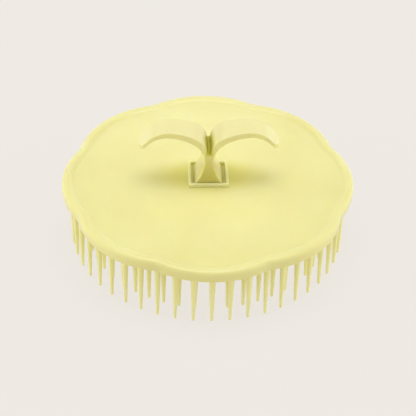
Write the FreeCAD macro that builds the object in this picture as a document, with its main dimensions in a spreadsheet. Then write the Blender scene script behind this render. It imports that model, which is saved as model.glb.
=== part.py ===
"""Scalp massager brush: a scalloped palm plate with rings of tapered pins and a Y-shaped finger handle.

Millimetres, +Z up. The brush stands on the tips of its outer pins at Z = 0, with its centre axis on Z.
The handle's two wings reach out along X; a lobe of the plate faces -Y.
"""
import FreeCAD, Part
import math
import os
import Sketcher
from FreeCAD import Placement, Rotation, Vector

PARTS_FOLDER = "parts"

# Driving dimensions: alias, value in millimetres, degrees or a count, and what it measures.
SIZES = [
    ("lobe_radius", 59.9, "centre to the crest of a lobe"),
    ("notch_radius", 57.5, "centre to the bottom of a notch between lobes"),
    ("notch_arc", 12.0, "radius of the hollow arc in a notch"),
    ("lobe_count", 8, "lobes round the plate"),
    ("rim_bottom", 23.5, "height of the rim's flat underside"),
    ("rim_crest", 28.2, "height of the rim's crest"),
    ("rim_shoulder", 2.3, "radius of the rim's rolled outer shoulder"),
    ("rim_width", 6.0, "width of the rim's skirt"),
    ("rim_slope_end", 5.0, "from the plate's edge to the foot of the rim's inner slope"),
    ("rim_flat", 0.1, "width of the flat left on the rim's crest"),
    ("rim_step", 0.02, "height of the step left at the foot of the slope"),
    ("rim_edge_round", 0.5, "radius of the rim's lower edges"),
    ("web_radius", 55.3, "reach of the domed web inside the rim"),
    ("web_underside", 25.6, "height of the web's flat underside"),
    ("web_edge_top", 27.53, "height of the dome where the web ends in the rim"),
    ("web_centre_top", 29.7, "height of the dome at the centre"),
    ("frame_side", 16.4, "outside of the square socket frame"),
    ("frame_wall", 1.2, "wall of the socket frame"),
    ("frame_top", 31.2, "height of the socket frame's top"),
    ("frame_root", 28.4, "height where the socket frame starts inside the web"),
    ("frame_round", 0.35, "rounding of the socket frame's edges"),
    ("slot_width", 4.2, "width of the slot for the handle's prongs"),
    ("slot_length", 9.4, "length of the slot for the handle's prongs"),
    ("handle_depth", 13.6, "depth of the handle's foot, front to back"),
    ("handle_top_depth", 12.0, "depth of the handle at its highest point"),
    ("stem_half", 1.85, "half width of the stem where it is narrowest"),
    ("stem_neck", 41.5, "height of the stem's narrowest place"),
    ("foot_flare", 19.0, "radius of the flare from the stem to the foot"),
    ("under_root_arc", 9.0, "radius under the wing beside the stem"),
    ("under_root_turn", 62.0, "degrees turned by that arc"),
    ("under_span_arc", 21.8, "radius under the middle of the wing"),
    ("under_tip_arc", 10.4, "radius under the wing's drooping end"),
    ("groove_half", 0.65, "half width of the floor of the groove between the wings"),
    ("groove_floor", 45.3, "height of the groove's floor at its sides"),
    ("groove_sag", 0.5, "how much deeper the floor is in the middle"),
    ("groove_wall_angle", 84.0, "steepness of the groove's sides at the floor"),
    ("over_root_arc", 8.8, "radius over the wing beside the groove"),
    ("over_root_turn", 62.0, "degrees turned by that arc"),
    ("over_span_arc", 27.0, "radius over the middle of the wing"),
    ("over_tip_arc", 11.3, "radius over the wing's drooping end"),
    ("tip_droop", 45.0, "slope of the wing's end below level, in degrees"),
    ("wing_reach", 28.4, "centre to the wing's end"),
    ("wing_corner_reach", 26.4, "centre to the corners of the wing's end"),
    ("wing_end_half", 5.0, "half depth of the wing at its end"),
    ("wing_waist_half", 5.35, "half depth of the wing at its waist"),
    ("wing_waist_reach", 12.0, "centre to the wing's waist"),
    ("wing_root_half", 6.6, "half depth of the wing beside the stem"),
    ("wing_root_reach", 2.4, "centre to the wing's root"),
    ("wing_root_height", 44.4, "height where the wings begin"),
    ("handle_round", 0.3, "rounding of the handle's edges"),
    ("prong_half", 1.9, "half thickness of the two snap prongs together"),
    ("prong_length", 9.0, "length of the prongs, front to back"),
    ("prong_end", 22.9, "height of the prongs' lower ends"),
    ("barb_reach", 0.65, "how far each barb stands out"),
    ("barb_gap", 0.1, "play between a barb and the web's underside"),
    ("slit_width", 1.2, "slit between the two prongs"),
    ("slit_top", 28.6, "height of the slit's upper end"),
    ("pin_root_radius", 1.35, "radius of a pin where it meets the plate"),
    ("pin_tip_radius", 0.62, "radius of a pin just above its tip"),
    ("pin_tip_flat", 0.25, "radius of the small flat on a pin's tip"),
    ("pin_tip_round", 0.55, "height of the rounded end of a pin"),
]

# Rings of pins: node, radius of the ring, pins in it, height of the roots' sheet cell, height of the tips.
PIN_RINGS = [
    ("pin_ring_outer", 55.7, 48, "rim_bottom", 0.0),
    ("pin_ring_second", 49.2, 48, "web_underside", 0.9),
    ("pin_ring_third", 28.6, 24, "web_underside", 1.8),
    ("pin_ring_fourth", 21.4, 18, "web_underside", 2.1),
    ("pin_ring_inner", 14.2, 12, "web_underside", 2.4),
]

doc = FreeCAD.newDocument("scalp_massager_brush")


def make_sheet():
    """The spreadsheet of driving dimensions, with one alias per cell."""
    cells = doc.addObject("Spreadsheet::Sheet", "sizes")
    rows = list(SIZES)
    for node, radius, count, root, tip in PIN_RINGS:
        rows.append((node + "_radius", radius, "radius of the ring"))
        rows.append((node + "_count", count, "pins in the ring"))
        rows.append((node + "_tip", tip, "height of the pins' tips"))
    for row, (alias, value, meaning) in enumerate(rows, start=1):
        cells.set("A%d" % row, meaning)
        cells.set("B%d" % row, str(value))
        cells.setAlias("B%d" % row, alias)
    doc.recompute()
    return cells


sheet = make_sheet()


def size(alias):
    return float(sheet.get(alias))


def bind(feature, prop, expression):
    """Bind a property to the sheet. Words that are aliases get the sheet's name in front."""
    aliases = [row[0] for row in SIZES] + [
        ring[0] + end for ring in PIN_RINGS for end in ("_radius", "_count", "_tip")
    ]
    words = expression.split()
    bound = ["sizes." + word if word in aliases else word for word in words]
    feature.setExpression(prop, " ".join(bound))


def unit(angle):
    """Unit vector at that angle in degrees, in a sketch's plane."""
    return Vector(math.cos(math.radians(angle)), math.sin(math.radians(angle)), 0)


def origin_plane(body, role):
    for feature in body.Origin.OriginFeatures:
        if feature.Role == role:
            return feature
    raise ValueError("no plane " + role)


def new_body(label):
    body = doc.addObject("PartDesign::Body", label)
    body.Label = label
    return body


def new_sketch(body, name, role, geometry, height=None):
    """A sketch on one of the body's own origin planes, raised to a sheet height when one is given."""
    sketch = body.newObject("Sketcher::SketchObject", name)
    sketch.AttachmentSupport = (origin_plane(body, role), [""])
    sketch.MapMode = "FlatFace"
    if height:
        bind(sketch, "AttachmentOffset.Base.z", height)
    sketch.addGeometry([drawn(run) for run in geometry], False)
    join_ends(sketch)
    return sketch


def join_ends(sketch):
    """Coincidence between every two ends that meet."""
    ends = []
    for index, shape in enumerate(sketch.Geometry):
        if hasattr(shape, "StartPoint"):
            ends.append((index, 1, shape.StartPoint))
            ends.append((index, 2, shape.EndPoint))
    for first, (index, end, point) in enumerate(ends):
        for other, other_end, other_point in ends[first + 1:]:
            if other != index and point.distanceToPoint(other_point) < 1e-6:
                sketch.addConstraint(Sketcher.Constraint("Coincident", index, end, other, other_end))


def drawn(run):
    """The curve of a run: two points are a line, three are an arc, drawn anticlockwise."""
    if len(run) == 2:
        return Part.LineSegment(*run)
    start, middle, end = run
    if (middle - start).cross(end - middle).z < 0:
        start, end = end, start
    return Part.Arc(start, middle, end)


def polygon(points):
    return list(zip(points, points[1:] + points[:1]))


def rectangle(half_x, half_y):
    return polygon([
        Vector(-half_x, -half_y, 0),
        Vector(half_x, -half_y, 0),
        Vector(half_x, half_y, 0),
        Vector(-half_x, half_y, 0),
    ])


def arc_ahead(start, heading, radius, turn):
    """Arc that leaves start along heading and turns by turn degrees, with its end point and heading."""
    side = math.copysign(90, turn)
    centre = start + unit(heading + side) * radius
    middle = centre + unit(heading - side + turn / 2) * radius
    end = centre + unit(heading - side + turn) * radius
    return (start, middle, end), end, heading + turn


def mirrored(runs):
    """The same runs on the other side of the sketch's vertical axis."""
    return [tuple(Vector(-point.x, point.y, 0) for point in run) for run in runs]


def pad(body, name, sketch, length, midplane=False, reverse=False):
    feature = body.newObject("PartDesign::Pad", name)
    feature.Profile = sketch
    bind(feature, "Length", length)
    feature.Midplane = midplane
    feature.Reversed = reverse
    doc.recompute()
    return feature


def pocket(body, name, sketch, length, midplane=False, reverse=False):
    """A cut that has to take something away."""
    before = body.Shape.Volume
    feature = body.newObject("PartDesign::Pocket", name)
    feature.Profile = sketch
    bind(feature, "Length", length)
    feature.Midplane = midplane
    feature.Reversed = reverse
    doc.recompute()
    if feature.Shape.Volume >= before:
        raise ValueError(name + " cuts nothing")
    return feature


def edge_names(base, wanted):
    return ["Edge%d" % (i + 1) for i, edge in enumerate(base.Shape.Edges) if wanted(edge)]


def edge_reach(edge):
    """Distance of an edge's middle from the Z axis."""
    middle = edge.valueAt((edge.FirstParameter + edge.LastParameter) / 2)
    return math.hypot(middle.x, middle.y)


def round_edges(body, name, radius, wanted):
    """Fillet on the edges of the body's tip that wanted() picks."""
    base = body.Tip
    names = edge_names(base, wanted)
    feature = body.newObject("PartDesign::Fillet", name)
    feature.Base = (base, names)
    bind(feature, "Radius", radius)
    doc.recompute()
    return feature


# ---------------------------------------------------------------- palm plate


def scalloped_outline(inset=0):
    """Eight broad lobe arcs joined by tangent notch arcs, or the same outline moved inwards."""
    crest = size("lobe_radius")
    notch_centre = size("notch_radius") + size("notch_arc")
    count = int(size("lobe_count"))
    half_pitch = 180 / count
    reach = math.cos(math.radians(half_pitch)) * notch_centre
    lobe_arc = crest ** 2 + notch_centre ** 2 - 2 * crest * reach - size("notch_arc") ** 2
    lobe_arc = lobe_arc / (2 * (size("notch_arc") + crest - reach))
    lobe_centre = Vector(crest - lobe_arc, 0, 0)
    to_notch = unit(half_pitch) * notch_centre - lobe_centre
    joint = lobe_centre + to_notch * ((lobe_arc - inset) / to_notch.Length)
    before = Vector(joint.x, -joint.y, 0)
    arcs = []
    for lobe in range(count):
        turn = Rotation(Vector(0, 0, 1), lobe * 2 * half_pitch)
        next_turn = Rotation(Vector(0, 0, 1), (lobe + 1) * 2 * half_pitch)
        arcs.append((
            turn.multVec(before),
            turn.multVec(Vector(crest - inset, 0, 0)),
            turn.multVec(joint)))
        arcs.append((
            turn.multVec(joint),
            turn.multVec(unit(half_pitch) * (size("notch_radius") - inset)),
            next_turn.multVec(before)))
    return arcs


def dome_section():
    """Half of the web's dome, down to the level inside the rim."""
    edge = size("web_radius")
    low = size("web_edge_top")
    rise = size("web_centre_top") - low
    dome = (edge ** 2 + rise ** 2) / (2 * rise)
    middle_x = edge / 2
    middle_y = size("web_centre_top") - dome + math.sqrt(dome ** 2 - middle_x ** 2)
    outer = Vector(edge, low, 0)
    peak = Vector(0, size("web_centre_top"), 0)
    foot = Vector(0, low - 0.5, 0)
    outer_foot = Vector(edge, low - 0.5, 0)
    return [
        (foot, outer_foot),
        (outer_foot, outer),
        (outer, Vector(middle_x, middle_y, 0), peak),
        (peak, foot),
    ]


def make_palm_plate():
    body = new_body("palm_plate")
    outline = new_sketch(body, "plate_outline", "XY_Plane", scalloped_outline(), "rim_bottom")
    pad(body, "plate_block", outline, "rim_crest - rim_bottom")

    crest = size("rim_crest")

    def at_crest(edge):
        return edge.BoundBox.ZMin > crest - 0.01

    round_edges(body, "rolled_shoulder", "rim_shoulder", at_crest)
    rim_inside = new_sketch(
        body, "rim_inside", "XY_Plane", scalloped_outline(size("rim_slope_end")), "web_edge_top")
    pocket(body, "inside_of_rim", rim_inside, "rim_crest - web_edge_top", reverse=True)

    def inner_crest(edge):
        return at_crest(edge) and edge_reach(edge) < size("lobe_radius") - size("rim_slope_end") + 0.05

    base = body.Tip
    slope = body.newObject("PartDesign::Chamfer", "rim_slope")
    slope.Base = (base, edge_names(base, inner_crest))
    slope.ChamferType = "Two distances"
    bind(slope, "Size", "rim_slope_end - rim_shoulder - rim_flat")
    bind(slope, "Size2", "rim_crest - web_edge_top - rim_step")
    doc.recompute()

    skirt = new_sketch(
        body, "skirt_inside", "XY_Plane", scalloped_outline(size("rim_width")), "rim_bottom")
    pocket(body, "underside_recess", skirt, "web_underside - rim_bottom", reverse=True)

    def lower_edges(edge):
        return edge.BoundBox.ZMax < size("rim_bottom") + 0.01

    round_edges(body, "lower_rounding", "rim_edge_round", lower_edges)

    half_dome = new_sketch(body, "dome_section", "XZ_Plane", dome_section())
    dome = body.newObject("PartDesign::Revolution", "domed_web")
    dome.Profile = half_dome
    dome.ReferenceAxis = (half_dome, ["V_Axis"])
    dome.Angle = 360
    doc.recompute()

    outer = size("frame_side") / 2
    inner = outer - size("frame_wall")
    square = new_sketch(
        body, "frame_square", "XY_Plane", rectangle(outer, outer) + rectangle(inner, inner), "frame_root")
    pad(body, "socket_frame", square, "frame_top - frame_root")

    slot = new_sketch(
        body, "slot_outline", "XY_Plane",
        rectangle(size("slot_width") / 2, size("slot_length") / 2), "web_underside")
    pocket(body, "prong_slot", slot, "frame_top - web_underside", reverse=True)

    top = size("frame_top")
    reach = size("frame_side") / 2

    def on_frame(edge):
        box = edge.BoundBox
        upright = box.ZLength > 0.5 and box.XLength < 0.01 and box.YLength < 0.01
        outside = upright and abs(abs(box.XMin) - reach) < 0.01 and box.ZMax > top - 0.01
        return box.ZMin > top - 0.01 or outside

    round_edges(body, "frame_rounding", "frame_round", on_frame)
    return body


# ------------------------------------------------------------- finger handle


def wing_run(start, heading, arcs, end_x):
    """Arcs that follow each other, then a straight run to end_x."""
    geometry = []
    point = start
    for radius, turn in arcs:
        arc, point, heading = arc_ahead(point, heading, radius, turn)
        geometry.append(arc)
    end = point + unit(heading) * ((end_x - point.x) / unit(heading).x)
    geometry.append((point, end))
    return geometry, end


def handle_profile():
    """Front view of the handle: flared foot, stem, and two wings with a groove between them."""
    base = size("web_centre_top")
    neck = Vector(size("stem_half"), size("stem_neck"), 0)
    flare = size("foot_flare")
    fall = neck.y - base
    foot_turn = math.degrees(math.asin(fall / flare))
    foot_arc, foot_corner, heading = arc_ahead(neck, -90, flare, foot_turn)

    droop = size("tip_droop")
    under_turn = size("under_root_turn")
    over_turn = size("over_root_turn")
    over_start = size("groove_wall_angle")
    under, under_end = wing_run(neck, 90, [
        (size("under_root_arc"), -under_turn),
        (size("under_span_arc"), under_turn - 90),
        (size("under_tip_arc"), -droop),
    ], size("wing_reach") - 0.9)
    groove_side = Vector(size("groove_half"), size("groove_floor"), 0)
    over, over_end = wing_run(groove_side, over_start, [
        (size("over_root_arc"), -over_turn),
        (size("over_span_arc"), over_turn - over_start),
        (size("over_tip_arc"), -droop),
    ], size("wing_reach"))

    right = [foot_arc] + under + [(under_end, over_end)] + over
    groove = (
        Vector(-groove_side.x, groove_side.y, 0),
        Vector(0, groove_side.y - size("groove_sag"), 0),
        groove_side)
    sole = (Vector(-foot_corner.x, foot_corner.y, 0), foot_corner)
    return right + mirrored(right) + [groove, sole]


def wing_plan():
    """Top view of the wings inside a frame that is cut away."""
    waist = Vector(size("wing_waist_reach"), size("wing_waist_half"), 0)
    root = Vector(size("wing_root_reach"), size("wing_root_half"), 0)
    corner = Vector(size("wing_corner_reach"), size("wing_end_half"), 0)
    end = Vector(size("wing_reach"), 0, 0)
    back_edge = (root, waist, corner)
    front_edge = tuple(Vector(point.x, -point.y, 0) for point in back_edge)
    end_arc = (corner, end, front_edge[2])
    right = [back_edge, end_arc, front_edge]
    across = [
        (Vector(-root.x, root.y, 0), root),
        (Vector(-root.x, -root.y, 0), front_edge[0]),
    ]
    margin = 4
    frame = rectangle(size("wing_reach") + margin, size("handle_depth") / 2 + margin)
    return right + mirrored(right) + across + frame


def side_wedges():
    """Side view: the two thin wedges that lean the handle's front and back faces inwards."""
    foot = size("handle_depth") / 2
    top = size("handle_top_depth") / 2
    low = size("web_centre_top")
    high = size("web_centre_top") + 30
    outside = foot + 3
    wedge = polygon([
        Vector(foot, low, 0),
        Vector(outside, low, 0),
        Vector(outside, high, 0),
        Vector(top, high, 0),
    ])
    return wedge + mirrored(wedge)


def prong_profile():
    """Front view of the two snap prongs, with a barb on each outer side."""
    half = size("prong_half")
    root = size("web_centre_top")
    shelf = size("web_underside") - size("barb_gap")
    end = size("prong_end")
    barb = half + size("barb_reach")
    right = [
        Vector(half, root, 0),
        Vector(half, shelf, 0),
        Vector(barb, shelf, 0),
        Vector(barb, shelf - 0.5, 0),
        Vector(half - 0.5, end, 0),
    ]
    left = [Vector(-p.x, p.y, 0) for p in reversed(right)]
    return polygon(right + left)


def make_finger_handle():
    body = new_body("finger_handle")
    profile = new_sketch(body, "handle_profile", "XZ_Plane", handle_profile())
    pad(body, "handle_block", profile, "handle_depth", midplane=True)

    wedges = new_sketch(body, "side_wedges", "YZ_Plane", side_wedges())
    pocket(body, "leaning_faces", wedges, "wing_reach * 4", midplane=True)

    plan = new_sketch(body, "wing_plan", "XY_Plane", wing_plan(), "wing_root_height")
    pocket(body, "wing_trim", plan, "wing_reach", reverse=True)

    wing_start = size("wing_root_reach") + 1.7
    wing_end = size("wing_corner_reach") - 1.9
    neck = size("stem_neck")

    def soft(edge):
        """The long edges of the wings, the edges of their ends, and the stem's upright edges."""
        box = edge.BoundBox
        inner, outer = sorted((abs(box.XMin), abs(box.XMax)))
        one_side = box.XMin * box.XMax > 0
        on_wing = one_side and inner > wing_start and edge.Length > 1 and box.YLength < 1.5
        on_wing_end = one_side and inner > wing_end and box.YLength > 0.5
        upright = box.ZLength > 1 and box.YLength < 1
        on_stem = upright and outer < 6.1 and box.ZMin < neck + 0.5 and box.ZMax > neck - 0.5
        return on_wing or on_wing_end or on_stem

    round_edges(body, "soft_edges", "handle_round", soft)

    prongs = new_sketch(body, "prong_profile", "XZ_Plane", prong_profile())
    pad(body, "snap_prongs", prongs, "prong_length", midplane=True)
    slit = new_sketch(
        body, "slit_outline", "XY_Plane",
        rectangle(size("slit_width") / 2, size("prong_length")), "slit_top")
    pocket(body, "prong_slit", slit, "slit_top - prong_end + 1")
    return body


# ---------------------------------------------------------------------- pins


def pin_profile(radius, root, tip):
    """Half of one pin beside its axis: tapered, with a rounded end and a small flat."""
    flat = size("pin_tip_flat")
    side = size("pin_tip_radius")
    rounded = size("pin_tip_round")
    lean = math.sqrt(0.5)
    shoulder = Vector(radius + side, tip + rounded, 0)
    bulge = Vector(radius + flat + (side - flat) * lean, tip + rounded * (1 - lean), 0)
    return [
        (Vector(radius, tip, 0), Vector(radius + flat, tip, 0)),
        (Vector(radius + flat, tip, 0), bulge, shoulder),
        (shoulder, Vector(radius + size("pin_root_radius"), root, 0)),
        (Vector(radius + size("pin_root_radius"), root, 0), Vector(radius, root, 0)),
        (Vector(radius, root, 0), Vector(radius, tip, 0)),
    ]


def make_pin_ring(node, root_cell):
    """One turned pin on +X, repeated round Z."""
    body = new_body(node)
    body.AllowCompound = True
    profile = new_sketch(
        body, node + "_profile", "XZ_Plane",
        pin_profile(size(node + "_radius"), size(root_cell), size(node + "_tip")))
    axis = len(profile.Geometry) - 1
    turned = body.newObject("PartDesign::Revolution", node + "_pin")
    turned.Profile = profile
    turned.ReferenceAxis = (profile, ["Edge%d" % (axis + 1)])
    turned.Angle = 360
    doc.recompute()
    ring = body.newObject("PartDesign::PolarPattern", node + "_pattern")
    ring.Originals = [turned]
    ring.Axis = (profile, ["V_Axis"])
    ring.Angle = 360
    bind(ring, "Occurrences", node + "_count")
    body.Tip = ring
    doc.recompute()
    return body


palm_plate = make_palm_plate()
finger_handle = make_finger_handle()
nodes = [palm_plate, finger_handle]
for node, radius, count, root_cell, tip in PIN_RINGS:
    nodes.append(make_pin_ring(node, root_cell))

doc.recompute()
for item in doc.Objects:
    if "Invalid" in item.State or "Error" in item.State:
        raise ValueError("failed: " + item.Name)
for body in nodes:
    if body.Shape.isNull() or not body.Shape.isValid():
        raise ValueError("bad shape: " + body.Label)

os.makedirs(PARTS_FOLDER, exist_ok=True)
for body in nodes:
    shape = body.Shape
    box = shape.BoundBox
    print("%-16s solids %d volume %.1f mm3 box %.2f %.2f %.2f to %.2f %.2f %.2f" % (
        body.Label, len(shape.Solids), shape.Volume,
        box.XMin, box.YMin, box.ZMin, box.XMax, box.YMax, box.ZMax))
    shape.exportStep(os.path.join(PARTS_FOLDER, body.Label + ".step"))
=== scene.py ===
"""Looks of the scalp massager brush: one pale yellow, semi-gloss, slightly translucent plastic."""
import math
import bpy
from mathutils import Matrix, Vector


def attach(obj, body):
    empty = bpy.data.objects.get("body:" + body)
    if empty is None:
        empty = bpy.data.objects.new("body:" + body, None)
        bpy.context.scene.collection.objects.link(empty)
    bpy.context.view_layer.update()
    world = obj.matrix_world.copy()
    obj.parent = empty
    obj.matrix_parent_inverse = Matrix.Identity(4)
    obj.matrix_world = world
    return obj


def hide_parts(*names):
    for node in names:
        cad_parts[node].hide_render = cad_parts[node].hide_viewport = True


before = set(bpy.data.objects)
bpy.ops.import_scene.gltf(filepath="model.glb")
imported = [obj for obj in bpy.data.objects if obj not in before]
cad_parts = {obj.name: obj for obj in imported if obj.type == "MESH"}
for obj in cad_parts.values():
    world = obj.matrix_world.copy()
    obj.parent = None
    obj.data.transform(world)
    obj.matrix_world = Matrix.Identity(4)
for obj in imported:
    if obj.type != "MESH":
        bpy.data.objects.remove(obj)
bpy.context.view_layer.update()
scene = bpy.context.scene
MM = 0.001

# Plate outline, in millimetres: lobes, and the notches between them with an arc in each.
CREST = 59.88
NOTCH = 57.5
NOTCH_ARC = 12.0
LOBES = 8
LOBE_POINTS = 28
NOTCH_POINTS = 14

# Rim section, in millimetres: insets from the outline, and heights above the pin tips.
RIM_BOTTOM = 23.5
RIM_SIDE = 24.9
RIM_CREST = 28.2
SHOULDER = 1.9
LOWER_ROUND = 0.5
SKIRT = 6.0
SKIRT_MIDDLE = 3.0
SKIRT_ROUND = 0.4
WEB_UNDER = 25.6
WEB_START = SKIRT + 0.5
BEAD = 3.2
VALLEY = 5.0
RIM_INSIDE = 8.0
SLOPE_INSETS = (2.7, 3.2, 3.4, 3.6, 3.8, 4.0, 4.2, 4.4, 4.6, 4.8, 5.0, 5.2, 5.6, 6.2, 7.0, RIM_INSIDE)

# Dome, in millimetres, and the rings of the web's underside as shares of the outline.
DOME_TOP = 29.7
DOME_RADIUS = 705.0
DOME_RINGS = 24
WEB_REACH = 0.86
WEB_RINGS = (0.12, 0.35, 0.6, 0.8, 0.93)

# Socket frame round the handle's foot, in millimetres.
FRAME_OUT = 8.2
FRAME_IN = 7.0
FRAME_TOP = 31.2
FRAME_ROOT = 29.0
FRAME_ROUND = 0.32
FRAME_ROUND_STEPS = 4

# Painted shade in the slot between the handle's wings, in millimetres: half-widths and heights where it
# fades in.
GROOVE_SHADE_OUTSIDE = 1.7
GROOVE_SHADE_INSIDE = 0.8
GROOVE_SHADE_BELOW = 44.0
GROOVE_SHADE_ABOVE = 44.6

# Painted shadow of the wings, a deeper yellow beside the socket: an oval that is wide along X, with its
# fade in millimetres.
SHADOW_OVAL = (0.65, 1.45, 0)
SHADOW_OVAL_OUTSIDE = 19.0
SHADOW_OVAL_INSIDE = 7.0

# Plastic: cloudy colour, uneven gloss, and a fine grain under long, low waves.
CLOUDS = dict(scale=38.0, detail=3.0, roughness=0.5)
CLOUD_LIFT = 0.45
HAZE = dict(scale=210.0, detail=4.0, roughness=0.6)
GLOSSIEST = 0.30
DULLEST = 0.44
GRAIN = dict(scale=2600.0, detail=2.0, roughness=0.5)
GRAIN_STRENGTH = 0.10
GRAIN_DEPTH = 0.00004
WAVES = dict(scale=120.0, detail=1.0, roughness=0.4)
WAVE_STRENGTH = 0.22
WAVE_DEPTH = 0.0003
FINISH = {
    "IOR": 1.49,
    "Specular IOR Level": 0.32,
    "Coat Weight": 0.6,
    "Coat Roughness": 0.09,
    "Subsurface Weight": 0.4,
    "Subsurface Radius": (1.0, 0.85, 0.3),
    "Subsurface Scale": 0.003,
}

# Floor, with its half-width in millimetres, and studio.
FLOOR_HALF = 6000.0
FLOOR_GLOW = (0.862, 0.823, 0.776)
FLOOR_GLOW_STRENGTH = 0.88
FLOOR_DARK = (0.098, 0.094, 0.089)
FLOOR_LIGHT = (0.102, 0.098, 0.093)
MOTTLE = dict(scale=9.0, detail=2.0, roughness=0.5)
HORIZON = (0.863, 0.823, 0.776)
ABOVE = (0.36, 0.355, 0.345)
HORIZON_ENDS = 0.02
ABOVE_STARTS = 0.20

# Camera at the photograph's angle: turn round the object, elevation, distance and roll.
TURN = 0.052
ELEVATION = math.radians(38.776)
DISTANCE = 0.700
ROLL = 0.02536
TARGET = Vector((0.00033, 0, 0.01238))
LENS = 145.56
SENSOR = 36
CLIP_START = 0.01


def outline():
    """Points of the scalloped outline with the inward normal at each, one full turn."""
    half_pitch = math.pi / LOBES
    hollow = NOTCH + NOTCH_ARC
    reach = math.cos(half_pitch) * hollow
    across = CREST ** 2 + hollow ** 2 - 2 * CREST * reach - NOTCH_ARC ** 2
    bow = across / (2 * (NOTCH_ARC + CREST - reach))
    centre = Vector((CREST - bow, 0))
    to_notch = Vector((reach, math.sin(half_pitch) * hollow)) - centre
    spread = math.atan2(to_notch.y, to_notch.x)
    notch_centre = centre + to_notch
    back_angle = math.atan2(-to_notch.y, -to_notch.x)
    swing = half_pitch - math.pi - back_angle
    points = []
    for lobe in range(LOBES):
        turn = Matrix.Rotation(lobe * 2 * half_pitch, 2)
        for i in range(LOBE_POINTS):
            angle = -spread + 2 * spread * i / LOBE_POINTS
            out = Vector((math.cos(angle), math.sin(angle)))
            points.append((turn @ (centre + out * bow), turn @ -out))
        for i in range(NOTCH_POINTS):
            angle = back_angle + 2 * swing * i / NOTCH_POINTS
            out = Vector((math.cos(angle), math.sin(angle)))
            points.append((turn @ (notch_centre + out * NOTCH_ARC), turn @ out))
    return points


def dome(radius):
    """Height of the plate's top at a distance from its axis."""
    return DOME_TOP - radius ** 2 / (2 * DOME_RADIUS)


def quarter(steps):
    """Sine and cosine over a quarter turn."""
    angles = [math.radians(90 * i / steps) for i in range(steps + 1)]
    return [(math.sin(angle), math.cos(angle)) for angle in angles]


def rim_section():
    """Inset from the edge and height, from the web's underside round the skirt to the crest."""
    section = [(RIM_INSIDE, WEB_UNDER), (WEB_START, WEB_UNDER)]
    for sine, cosine in quarter(4):
        section.append((
            SKIRT + SKIRT_ROUND - SKIRT_ROUND * sine,
            WEB_UNDER - SKIRT_ROUND + SKIRT_ROUND * cosine))
    for sine, cosine in quarter(4):
        section.append((
            SKIRT - LOWER_ROUND + LOWER_ROUND * cosine,
            RIM_BOTTOM + LOWER_ROUND * (1 - sine)))
    section.append((SKIRT_MIDDLE, RIM_BOTTOM))
    for sine, cosine in quarter(5):
        section.append((LOWER_ROUND * (1 - sine), RIM_BOTTOM + LOWER_ROUND * (1 - cosine)))
    section.append((0, RIM_SIDE))
    for sine, cosine in quarter(10):
        section.append((SHOULDER * (1 - cosine), RIM_CREST - SHOULDER * (1 - sine)))
    return section


def new_object(name, vertices, faces):
    mesh = bpy.data.meshes.new(name)
    mesh.from_pydata([Vector(v) * MM for v in vertices], [], faces)
    mesh.polygons.foreach_set("use_smooth", [True] * len(mesh.polygons))
    made = bpy.data.objects.new(name, mesh)
    scene.collection.objects.link(made)
    return made


def make_plate():
    """Closed plate in rings: the web's underside, the rim, its inner slope and the dome."""
    points = outline()
    rings = []
    for share in WEB_RINGS:
        rings.append([(p.x * share * WEB_REACH, p.y * share * WEB_REACH, WEB_UNDER) for p, n in points])
    for inset, height in rim_section():
        rings.append([(p.x + n.x * inset, p.y + n.y * inset, height) for p, n in points])
    for inset in SLOPE_INSETS:
        fall = min(max((inset - BEAD) / (VALLEY - BEAD), 0), 1)
        ease = 0.5 - 0.5 * math.cos(math.pi * fall)
        slope = []
        for p, n in points:
            spot = p + n * inset
            slope.append((spot.x, spot.y, RIM_CREST + (dome(spot.length) - RIM_CREST) * ease))
        rings.append(slope)
    inner = [p + n * RIM_INSIDE for p, n in points]
    for step in range(1, DOME_RINGS + 1):
        share = 1 - step / (DOME_RINGS + 1)
        rings.append([(p.x * share, p.y * share, dome(p.length * share)) for p in inner])

    vertices = [v for one_ring in rings for v in one_ring]
    under_centre = len(vertices)
    top_centre = under_centre + 1
    vertices.append((0, 0, WEB_UNDER))
    vertices.append((0, 0, DOME_TOP))
    count = len(points)
    last = (len(rings) - 1) * count
    faces = []
    for start in range(0, last, count):
        for c in range(count):
            d = (c + 1) % count
            faces.append((start + c, start + d, start + count + d, start + count + c))
    for c in range(count):
        d = (c + 1) % count
        faces.append((under_centre, d, c))
        faces.append((top_centre, last + c, last + d))
    return new_object("plate_moulding", vertices, faces)


def make_frame():
    """Square ring with small roundings."""
    section = [
        (FRAME_OUT, FRAME_ROOT), (FRAME_OUT, FRAME_TOP), (FRAME_IN, FRAME_TOP), (FRAME_IN, FRAME_ROOT)]
    vertices = []
    for sx, sy in ((1, 1), (-1, 1), (-1, -1), (1, -1)):
        for out, height in section:
            vertices.append((sx * out, sy * out, height))
    faces = []
    for corner in range(4):
        here = corner * 4
        there = (corner + 1) % 4 * 4
        for k in range(4):
            m = (k + 1) % 4
            faces.append((here + k, there + k, there + m, here + m))
    made = new_object("socket_frame", vertices, faces)
    bevel = made.modifiers.new("rounding", "BEVEL")
    bevel.width = FRAME_ROUND * MM
    bevel.segments = FRAME_ROUND_STEPS
    bevel.limit_method = "ANGLE"
    bevel.harden_normals = True
    return made


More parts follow.
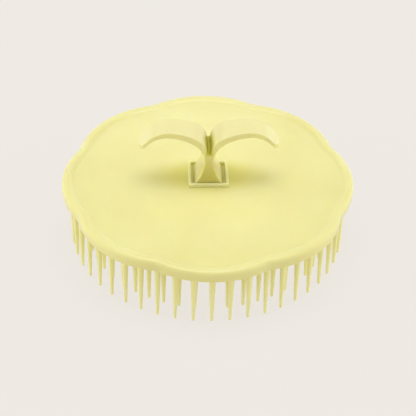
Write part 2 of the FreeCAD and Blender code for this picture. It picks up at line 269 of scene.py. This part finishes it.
class Nodes:
    """A node tree with short calls. A value is a number, a colour or another node's output."""

    def __init__(self, tree):
        self.tree = tree

    def put(self, value, socket):
        if isinstance(value, bpy.types.NodeSocket):
            self.tree.links.new(value, socket)
        else:
            socket.default_value = value

    def add(self, kind, **values):
        node = self.tree.nodes.new("ShaderNode" + kind)
        for name, value in values.items():
            self.put(value, node.inputs[name])
        return node

    def noise(self, place, scale, detail, roughness):
        texture = self.add("TexNoise", Vector=place, Scale=scale, Detail=detail, Roughness=roughness)
        return texture.outputs["Fac"]

    def axis(self, vector, letter):
        return self.add("SeparateXYZ", Vector=vector).outputs[letter]

    def calc(self, operation, first, second=0.0, clamp=False):
        node = self.add("Math")
        node.operation = operation
        node.use_clamp = clamp
        self.put(first, node.inputs[0])
        self.put(second, node.inputs[1])
        return node.outputs[0]

    def fade(self, value, start=0.0, end=1.0, first=0.0, last=1.0, smooth=False):
        """Goes from first to last as the value goes from start to end."""
        node = self.add("MapRange")
        if smooth:
            node.interpolation_type = "SMOOTHSTEP"
        self.put(value, node.inputs["Value"])
        self.put(start, node.inputs["From Min"])
        self.put(end, node.inputs["From Max"])
        self.put(first, node.inputs["To Min"])
        self.put(last, node.inputs["To Max"])
        return node.outputs["Result"]

    def mix(self, factor, first, second):
        node = self.add("Mix")
        node.data_type = "RGBA"
        self.put(factor, node.inputs["Factor"])
        self.put(first, node.inputs["A"])
        self.put(second, node.inputs["B"])
        return node.outputs["Result"]


def groove_shade_mask(n, place):
    """Factor that is 1 between the handle's wings, down to the slot's floor, and 0 elsewhere: where the
    slot's painted shade goes.
    """
    aside = n.calc("ABSOLUTE", n.axis(place, "X"))
    across = n.fade(aside, GROOVE_SHADE_OUTSIDE * MM, GROOVE_SHADE_INSIDE * MM)
    above = n.fade(n.axis(place, "Z"), GROOVE_SHADE_BELOW * MM, GROOVE_SHADE_ABOVE * MM)
    return n.calc("MULTIPLY", across, above)


def wing_shadow_mask(n, place):
    """Factor that is 1 beside the handle's socket and 0 away from it: where the wings' painted shadow
    goes.
    """
    flat = n.add("VectorMath")
    flat.operation = "MULTIPLY"
    n.put(place, flat.inputs[0])
    n.put(SHADOW_OVAL, flat.inputs[1])
    far = n.add("VectorMath")
    far.operation = "LENGTH"
    n.put(flat.outputs["Vector"], far.inputs[0])
    return n.fade(far.outputs["Value"], SHADOW_OVAL_OUTSIDE * MM, SHADOW_OVAL_INSIDE * MM, smooth=True)


def light_on_sides(n, factor):
    """Painted light: keeps the factor's painted shade on faces that look along Y, and brings it to 1, the
    light colour, on faces that look along X or Z.
    """
    along = n.calc("ABSOLUTE", n.axis(n.add("NewGeometry").outputs["Normal"], "Y"))
    kept = n.calc("MULTIPLY", n.calc("SUBTRACT", 1, factor), along)
    return n.calc("SUBTRACT", 1, kept)


def plastic(name, light, shaded_colour, shaded_at, light_at, groove_shade=None, socket=None):
    """Moulded plastic. Its colour runs from a shaded colour to a light one between two heights, in
    millimetres: painted shade, darker and more saturated towards the shaded height. It can also take
    painted shade in the slot between the handle's wings, and a painted shadow of the wings beside the
    socket.
    """
    material = bpy.data.materials.new(name)
    material.use_nodes = True
    n = Nodes(material.node_tree)
    shader = n.tree.nodes["Principled BSDF"]
    place = n.add("TexCoord").outputs["Object"]

    # Painted shade: darker towards the shaded height.
    height = n.fade(n.axis(place, "Z"), shaded_at * MM, light_at * MM)
    lift = n.fade(n.noise(place, **CLOUDS), first=-CLOUD_LIFT, last=CLOUD_LIFT)
    factor = n.calc("ADD", height, lift, clamp=True)
    if groove_shade:
        factor = light_on_sides(n, factor)
    colour = n.mix(factor, (*shaded_colour, 1), (*light, 1))
    if groove_shade:
        # Painted shade: a dark olive in the slot between the wings.
        colour = n.mix(groove_shade_mask(n, place), colour, (*groove_shade, 1))
    if socket:
        # Painted shadow of the wings on the plate beside the socket.
        colour = n.mix(wing_shadow_mask(n, place), colour, (*socket, 1))
    n.put(colour, shader.inputs["Base Color"])

    gloss = n.fade(n.noise(place, **HAZE), first=GLOSSIEST, last=DULLEST)
    n.put(gloss, shader.inputs["Roughness"])

    grain = n.noise(place, **GRAIN)
    waves = n.noise(place, **WAVES)
    fine = n.add("Bump", Strength=GRAIN_STRENGTH, Distance=GRAIN_DEPTH, Height=grain)
    soft = n.add(
        "Bump", Strength=WAVE_STRENGTH, Distance=WAVE_DEPTH, Height=waves, Normal=fine.outputs["Normal"])
    n.put(soft.outputs["Normal"], shader.inputs["Normal"])

    for setting, value in FINISH.items():
        shader.inputs[setting].default_value = value
    return material


def make_floor():
    """Pale paper that is lit and also glows, so that it stays even."""
    corners = ((-1, -1), (1, -1), (1, 1), (-1, 1))
    floor = new_object("floor", [(x * FLOOR_HALF, y * FLOOR_HALF, 0) for x, y in corners], [(0, 1, 2, 3)])
    material = bpy.data.materials.new("floor_paper")
    material.use_nodes = True
    n = Nodes(material.node_tree)
    n.tree.nodes.remove(n.tree.nodes["Principled BSDF"])
    mottle = n.noise(n.add("TexCoord").outputs["Object"], **MOTTLE)
    paper = n.add("BsdfDiffuse", Color=n.mix(mottle, (*FLOOR_DARK, 1), (*FLOOR_LIGHT, 1)))
    glow = n.add("Emission", Color=(*FLOOR_GLOW, 1), Strength=FLOOR_GLOW_STRENGTH)
    both = n.add("AddShader")
    n.put(paper.outputs[0], both.inputs[0])
    n.put(glow.outputs[0], both.inputs[1])
    n.put(both.outputs[0], n.tree.nodes["Material Output"].inputs["Surface"])
    floor.data.materials.append(material)


def softbox(name, place, aim, width, height, power, mirrored=True):
    """Rectangular light. One that isn't mirrored leaves no reflection in the plastic."""
    lamp = bpy.data.lights.new(name, "AREA")
    lamp.shape = "RECTANGLE"
    lamp.size = width
    lamp.size_y = height
    lamp.energy = power
    made = bpy.data.objects.new(name, lamp)
    made.visible_camera = False
    made.visible_glossy = mirrored
    made.location = place
    made.rotation_euler = (Vector(aim) - Vector(place)).to_track_quat("-Z", "Y").to_euler()
    scene.collection.objects.link(made)


def make_world():
    """The floor's colour at the horizon, dimmer above it."""
    world = bpy.data.worlds.new("studio")
    world.use_nodes = True
    n = Nodes(world.node_tree)
    rise = n.axis(n.add("TexCoord").outputs["Generated"], "Z")
    factor = n.fade(rise, HORIZON_ENDS, ABOVE_STARTS, smooth=True)
    background = n.tree.nodes["Background"]
    n.put(n.mix(factor, (*HORIZON, 1), (*ABOVE, 1)), background.inputs["Color"])
    background.inputs["Strength"].default_value = 1.0
    scene.world = world


def make_camera():
    lens = bpy.data.cameras.new("camera")
    lens.sensor_width = SENSOR
    lens.lens = LENS
    lens.clip_start = CLIP_START
    camera = bpy.data.objects.new("camera", lens)
    away = Vector((
        -math.sin(TURN) * math.cos(ELEVATION),
        -math.cos(TURN) * math.cos(ELEVATION),
        math.sin(ELEVATION)))
    camera.location = TARGET + away * DISTANCE
    camera.rotation_mode = "QUATERNION"
    roll = Matrix.Rotation(ROLL, 3, "Z").to_quaternion()
    camera.rotation_quaternion = (-away).to_track_quat("-Z", "Y") @ roll
    scene.collection.objects.link(camera)
    return camera


# Painted shade: the plate darkens towards the rim's lower edge and the underside, with a painted shadow
# of the wings beside the socket.
plate_plastic = plastic(
    "plate_plastic", (0.925, 0.885, 0.42), (0.80, 0.745, 0.27), 22.5, 32.0, socket=(0.83, 0.78, 0.22))
# Painted light: the frame's plastic is a lighter copy of the plate's, and painted shade darkens it
# towards its root.
frame_plastic = plastic("frame_plastic", (0.94, 0.90, 0.43), (0.92, 0.86, 0.30), 28.0, 31.0)
# Painted shade: the handle's plastic is a darker copy of the plate's, darker still towards its foot, with
# painted shade in the slot between the wings and painted light on its sides.
handle_plastic = plastic(
    "handle_plastic", (0.865, 0.805, 0.38), (0.68, 0.62, 0.155), 32.0, 48.0, groove_shade=(0.60, 0.56, 0.05))
# Painted shade: the pins darken towards their roots under the plate.
pin_plastic = plastic("pin_plastic", (0.925, 0.885, 0.41), (0.90, 0.85, 0.36), 24.0, 0.0)

plate = make_plate()
plate.data.materials.append(plate_plastic)
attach(plate, "root")
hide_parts("palm_plate")

ring = make_frame()
ring.data.materials.append(frame_plastic)
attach(ring, "root")

for name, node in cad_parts.items():
    if name.startswith("pin_ring"):
        node.material_slots[0].material = pin_plastic
    if name == "finger_handle":
        node.material_slots[0].material = handle_plastic

make_floor()
softbox("overhead", (0, 0.10, 1.0), (0, 0, 0.02), 0.7, 0.6, 3.75)
softbox("left_side", (-0.95, 0.05, 0.34), (0, 0, 0.03), 1.5, 1.1, 7.2, mirrored=False)
softbox("right_side", (0.95, 0.05, 0.34), (0, 0, 0.03), 1.5, 1.1, 7.2, mirrored=False)
softbox("behind", (0, 1.1, 0.55), (0, 0, 0.02), 1.2, 0.5, 0.8)
make_world()
scene.view_settings.view_transform = "Standard"
scene.camera = make_camera()
